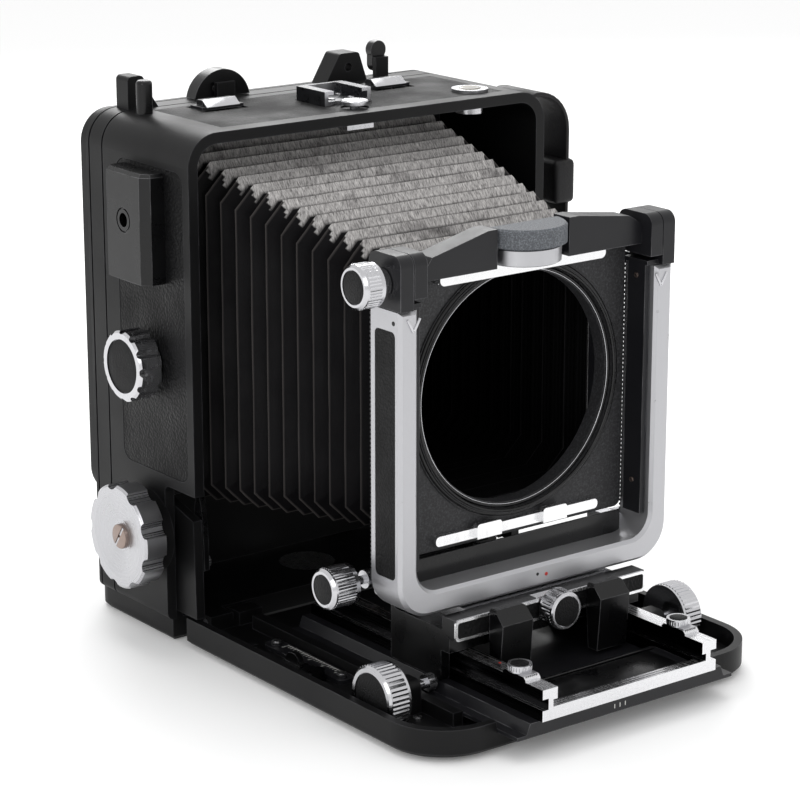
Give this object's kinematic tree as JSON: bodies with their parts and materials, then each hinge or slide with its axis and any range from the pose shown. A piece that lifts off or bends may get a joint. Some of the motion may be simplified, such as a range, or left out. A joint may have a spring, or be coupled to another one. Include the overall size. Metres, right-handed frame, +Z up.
{
  "type": "folding field camera",
  "caption": "Metal folding view camera for sheet film, opened: pleated bellows, front standard on a focusing bed, revolving back.",
  "frame": {"origin": "mouth of the tripod bush, in the underside of the base", "axes": "+Z up, -Y the way the lens looks, +X to the camera's right side as seen from the front"},
  "size_m": [0.2006, 0.2373, 0.2077],
  "materials": {
    "body_paint": "satin black paint on cast aluminium",
    "black_metal": "semi-gloss black",
    "lens_panel_crackle": "fine-grained matt dark grey",
    "leather": "black pebbled leather",
    "silver": "bright satin",
    "steel": "brushed",
    "frame_silver": "satin silver",
    "lock_grey": "grained silver-grey",
    "level_amber": "clear, amber liquid",
    "ground_glass": "ground one side",
    "rubber": "matt black",
    "bellows": "thin pleated black leather"
  },
  "bodies": {
    "base": {"base_plate": "body_paint", "tripod_bush": "steel", "base_pins": "steel"},
    "housing": {"housing_shell": "body_paint", "side_leathers": "leather", "rear_frame": "body_paint", "top_leather": "leather", "accessory_shoe": "silver", "spirit_level": "silver", "level_glass": "level_amber", "side_mount": "black_metal", "strap_lugs": "silver", "handle_strap": "leather", "bellows_rear_frame": "black_metal", "bellows_rear": "bellows"},
    "top_latch_left": {"top_latch_left": "silver"},
    "top_latch_right": {"top_latch_right": "silver"},
    "roof_catch": {"roof_catch": "silver"},
    "low_knob_left": {"low_knob_left": "silver"},
    "low_knob_right": {"low_knob_right": "silver"},
    "mid_knob": {"mid_knob": "silver"},
    "back": {"revolving_back": "body_paint"},
    "glass_back": {"glass_back_frame": "black_metal", "ground_glass": "ground_glass"},
    "film_slide_top": {"film_slide_top": "black_metal"},
    "film_slide_bottom": {"film_slide_bottom": "black_metal"},
    "back_release": {"back_release": "black_metal"},
    "back_lever": {"back_lever": "black_metal"},
    "post_button": {"post_button": "black_metal"},
    "bed": {"bed_tray": "body_paint", "bed_feet": "rubber", "focus_scale": "black_metal"},
    "struts": {"bed_struts": "black_metal"},
    "focus_lock": {"focus_lock": "black_metal"},
    "focus_knobs": {"focus_knobs": "silver"},
    "track": {"track_base": "black_metal", "track_rails": "silver", "front_plate": "black_metal", "bellows_middle": "bellows"},
    "stop_screw_left": {"stop_screw_left": "silver"},
    "stop_screw_right": {"stop_screw_right": "silver"},
    "carriage": {"carriage": "black_metal", "shift_trim": "silver", "shift_leather": "leather"},
    "clamp_left": {"clamp_wedge_left": "black_metal"},
    "clamp_right": {"clamp_wedge_right": "black_metal"},
    "centre_knob": {"centre_knob": "silver"},
    "cross_slide": {"shift_slide": "steel"},
    "standard": {"standard_frame": "frame_silver", "leg_leathers": "leather"},
    "rise_shaft": {"rise_shaft": "silver"},
    "riser": {"riser": "black_metal"},
    "tilt_knob": {"tilt_knob": "silver"},
    "tilt_lever": {"tilt_lever": "silver"},
    "lens_frame": {"lens_panel": "lens_panel_crackle", "lens_bridge": "black_metal", "retaining_bars": "silver", "bellows_front_frame": "black_metal", "bellows_front": "bellows"},
    "lens_lock": {"lens_lock": "lock_grey"}
  },
  "joints": [
    {"name": "back_tilt", "type": "hinge", "parent": "base", "child": "housing", "pos_m": [0, 0.026, 0.0123], "axis": [-1, 0, 0], "range_deg": [0, 15], "deforming": ["bellows_rear"]},
    {"name": "bed_drop", "type": "hinge", "parent": "base", "child": "bed", "pos_m": [0, -0.0275, 0.006], "axis": [1, 0, 0], "range_deg": [0, 15]},
    {"name": "strut_swing", "type": "hinge", "parent": "base", "child": "struts", "pos_m": [0, -0.034, 0.033], "axis": [1, 0, 0], "range_deg": [0, 15]},
    {"name": "focus_slide", "type": "slide", "parent": "bed", "child": "track", "axis": [0, -1, 0], "range_m": [-0.008, 0.03]},
    {"name": "focus_turn", "type": "hinge", "parent": "bed", "child": "focus_knobs", "pos_m": [0, -0.138, 0.0124], "axis": [1, 0, 0], "range_deg": [-545, 150]},
    {"name": "focus_lock_turn", "type": "hinge", "parent": "bed", "child": "focus_lock", "pos_m": [-0.066, -0.096, 0.0066], "axis": [0, 0, 1], "range_deg": [0, 16]},
    {"name": "carriage_slide", "type": "slide", "parent": "track", "child": "carriage", "axis": [0, 1, 0], "range_m": [0, 0.028], "deforming": ["bellows_middle"]},
    {"name": "stop_left_turn", "type": "hinge", "parent": "track", "child": "stop_screw_left", "pos_m": [-0.03625, -0.174, 0.026], "axis": [0, 0, 1], "range_deg": [0, 270]},
    {"name": "stop_right_turn", "type": "hinge", "parent": "track", "child": "stop_screw_right", "pos_m": [0.03625, -0.174, 0.026], "axis": [0, 0, 1], "range_deg": [0, 270]},
    {"name": "clamp_left_press", "type": "hinge", "parent": "carriage", "child": "clamp_left", "pos_m": [-0.02225, -0.1515, 0.0375], "axis": [-1, 0, 0], "range_deg": [0, 25]},
    {"name": "clamp_right_press", "type": "hinge", "parent": "carriage", "child": "clamp_right", "pos_m": [0.02225, -0.1515, 0.0375], "axis": [-1, 0, 0], "range_deg": [0, 25]},
    {"name": "centre_knob_turn", "type": "hinge", "parent": "carriage", "child": "centre_knob", "pos_m": [0, -0.152, 0.0332], "axis": [0, 1, 0], "range_deg": [0, 270]},
    {"name": "shift", "type": "slide", "parent": "carriage", "child": "cross_slide", "axis": [1, 0, 0], "range_m": [-0.01, 0.01]},
    {"name": "swing", "type": "hinge", "parent": "cross_slide", "child": "standard", "pos_m": [0, -0.131, 0.035], "axis": [0, 0, 1], "range_deg": [-7, 7]},
    {"name": "rise", "type": "slide", "parent": "standard", "child": "riser", "axis": [0, 0, 1], "range_m": [0, 0.025]},
    {"name": "rise_turn", "type": "hinge", "parent": "standard", "child": "rise_shaft", "pos_m": [0, -0.1175, 0.047], "axis": [1, 0, 0], "range_deg": [-460, 10]},
    {"name": "lens_tilt", "type": "hinge", "parent": "riser", "child": "lens_frame", "pos_m": [0, -0.131, 0.155], "axis": [-1, 0, 0], "range_deg": [-5, 12], "deforming": ["bellows_front"]},
    {"name": "tilt_knob_turn", "type": "hinge", "parent": "riser", "child": "tilt_knob", "pos_m": [-0.062, -0.131, 0.155], "axis": [1, 0, 0], "range_deg": [0, 120]},
    {"name": "tilt_lever_turn", "type": "hinge", "parent": "riser", "child": "tilt_lever", "pos_m": [0.062, -0.131, 0.155], "axis": [1, 0, 0], "range_deg": [0, 60]},
    {"name": "lens_lock_lift", "type": "slide", "parent": "lens_frame", "child": "lens_lock", "axis": [0, 0, 1], "range_m": [0, 0.005]},
    {"name": "low_knob_left_turn", "type": "hinge", "parent": "housing", "child": "low_knob_left", "pos_m": [-0.09, -0.014, 0.042], "axis": [1, 0, 0], "range_deg": [0, 180]},
    {"name": "low_knob_right_turn", "type": "hinge", "parent": "housing", "child": "low_knob_right", "pos_m": [0.09, -0.014, 0.042], "axis": [1, 0, 0], "range_deg": [0, 180]},
    {"name": "mid_knob_turn", "type": "hinge", "parent": "housing", "child": "mid_knob", "pos_m": [-0.09, -0.017, 0.107], "axis": [1, 0, 0], "range_deg": [0, 180]},
    {"name": "back_revolve", "type": "hinge", "parent": "housing", "child": "back", "pos_m": [0, 0.03, 0.116], "axis": [0, 1, 0], "range_deg": [0, 90]},
    {"name": "glass_back_open", "type": "slide", "parent": "back", "child": "glass_back", "axis": [0, 1, 0], "range_m": [0, 0.008], "stiffness_N_per_m": 500, "springref_m": -0.002},
    {"name": "film_slide_top_move", "type": "slide", "parent": "back", "child": "film_slide_top", "axis": [1, 0, 0], "range_m": [-0.004, 0.004]},
    {"name": "film_slide_bottom_move", "type": "slide", "parent": "back", "child": "film_slide_bottom", "axis": [1, 0, 0], "range_m": [-0.004, 0.004]},
    {"name": "back_release_move", "type": "slide", "parent": "housing", "child": "back_release", "axis": [1, 0, 0], "range_m": [-0.003, 0.003]},
    {"name": "back_lever_turn", "type": "hinge", "parent": "housing", "child": "back_lever", "pos_m": [0.049, 0.0195, 0.1986], "axis": [0, 1, 0], "range_deg": [-60, 60]},
    {"name": "post_button_press", "type": "slide", "parent": "housing", "child": "post_button", "axis": [0, 0, -1], "range_m": [0, 0.0025], "stiffness_N_per_m": 300, "springref_m": -0.001},
    {"name": "top_latch_left_slide", "type": "slide", "parent": "housing", "child": "top_latch_left", "axis": [0, 1, 0], "range_m": [-0.003, 0.003]},
    {"name": "top_latch_right_slide", "type": "slide", "parent": "housing", "child": "top_latch_right", "axis": [0, 1, 0], "range_m": [-0.003, 0.003]},
    {"name": "roof_catch_press", "type": "slide", "parent": "housing", "child": "roof_catch", "axis": [0, 0, -1], "range_m": [0, 0.001], "stiffness_N_per_m": 400, "springref_m": -0.001}
  ],
  "couplings": [
    {"joint": "strut_swing", "follows": "bed_drop", "ratio": 1},
    {"joint": "focus_turn", "follows": "focus_slide", "rad_per_m": -312.5},
    {"joint": "rise_turn", "follows": "rise", "rad_per_m": -312.5}
  ]
}
